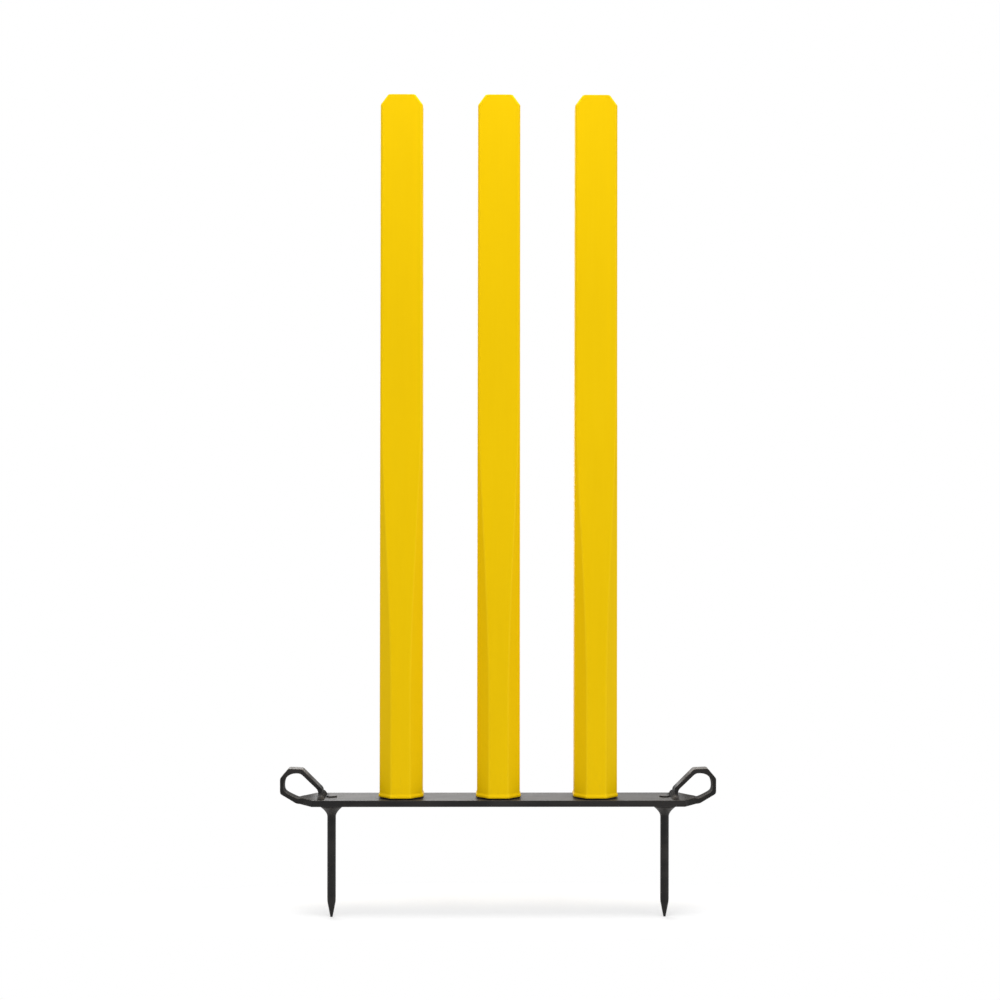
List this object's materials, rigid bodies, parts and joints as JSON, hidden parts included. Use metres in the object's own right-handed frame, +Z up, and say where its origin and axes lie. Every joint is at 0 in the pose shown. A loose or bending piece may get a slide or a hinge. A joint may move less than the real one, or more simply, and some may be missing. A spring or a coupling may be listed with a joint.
{
  "type": "cricket stumps",
  "caption": "Row of moulded plastic stumps on a flat steel bar with spikes and carrying loops; each stump tips back over its heel on a hidden spring and stands up again.",
  "frame": {"origin": "centre of the bar's underside, at ground level", "axes": "+X along the bar to the right as the bowler sees it, -Y towards the bowler, +Z up"},
  "size_m": [0.4376, 0.05, 0.8257],
  "materials": {
    "yellow_plastic": "moulded, soft sheen, bright yellow",
    "coated_steel": "black coating, satin",
    "zinc_steel": "zinc plated",
    "spring_steel": "oiled spring wire",
    "rubber": "matt black"
  },
  "bodies": {
    "base": {"base_bar": "coated_steel", "left_spike": "coated_steel", "right_spike": "coated_steel", "left_foot_pad": "rubber", "middle_foot_pad": "rubber", "right_foot_pad": "rubber", "left_eye_bolt": "zinc_steel", "middle_eye_bolt": "zinc_steel", "right_eye_bolt": "zinc_steel", "left_bolt_washer": "zinc_steel", "middle_bolt_washer": "zinc_steel", "right_bolt_washer": "zinc_steel", "left_lock_nut": "zinc_steel", "middle_lock_nut": "zinc_steel", "right_lock_nut": "zinc_steel", "left_return_spring": "spring_steel", "middle_return_spring": "spring_steel", "right_return_spring": "spring_steel"},
    "left_post": {"left_stump": "yellow_plastic", "left_spring_pin": "zinc_steel"},
    "middle_post": {"middle_stump": "yellow_plastic", "middle_spring_pin": "zinc_steel"},
    "right_post": {"right_stump": "yellow_plastic", "right_spring_pin": "zinc_steel"}
  },
  "joints": [
    {"name": "left_tilt", "type": "hinge", "parent": "base", "child": "left_post", "pos_m": [-0.0975, 0.021, 0.00765], "axis": [-1, 0, 0], "range_deg": [0, 70], "stiffness_Nm_per_rad": 1.5, "springref_deg": -34.38, "deforming": ["left_return_spring"]},
    {"name": "middle_tilt", "type": "hinge", "parent": "base", "child": "middle_post", "pos_m": [0, 0.021, 0.00765], "axis": [-1, 0, 0], "range_deg": [0, 70], "stiffness_Nm_per_rad": 1.5, "springref_deg": -34.38, "deforming": ["middle_return_spring"]},
    {"name": "right_tilt", "type": "hinge", "parent": "base", "child": "right_post", "pos_m": [0.0975, 0.021, 0.00765], "axis": [-1, 0, 0], "range_deg": [0, 70], "stiffness_Nm_per_rad": 1.5, "springref_deg": -34.38, "deforming": ["right_return_spring"]}
  ]
}
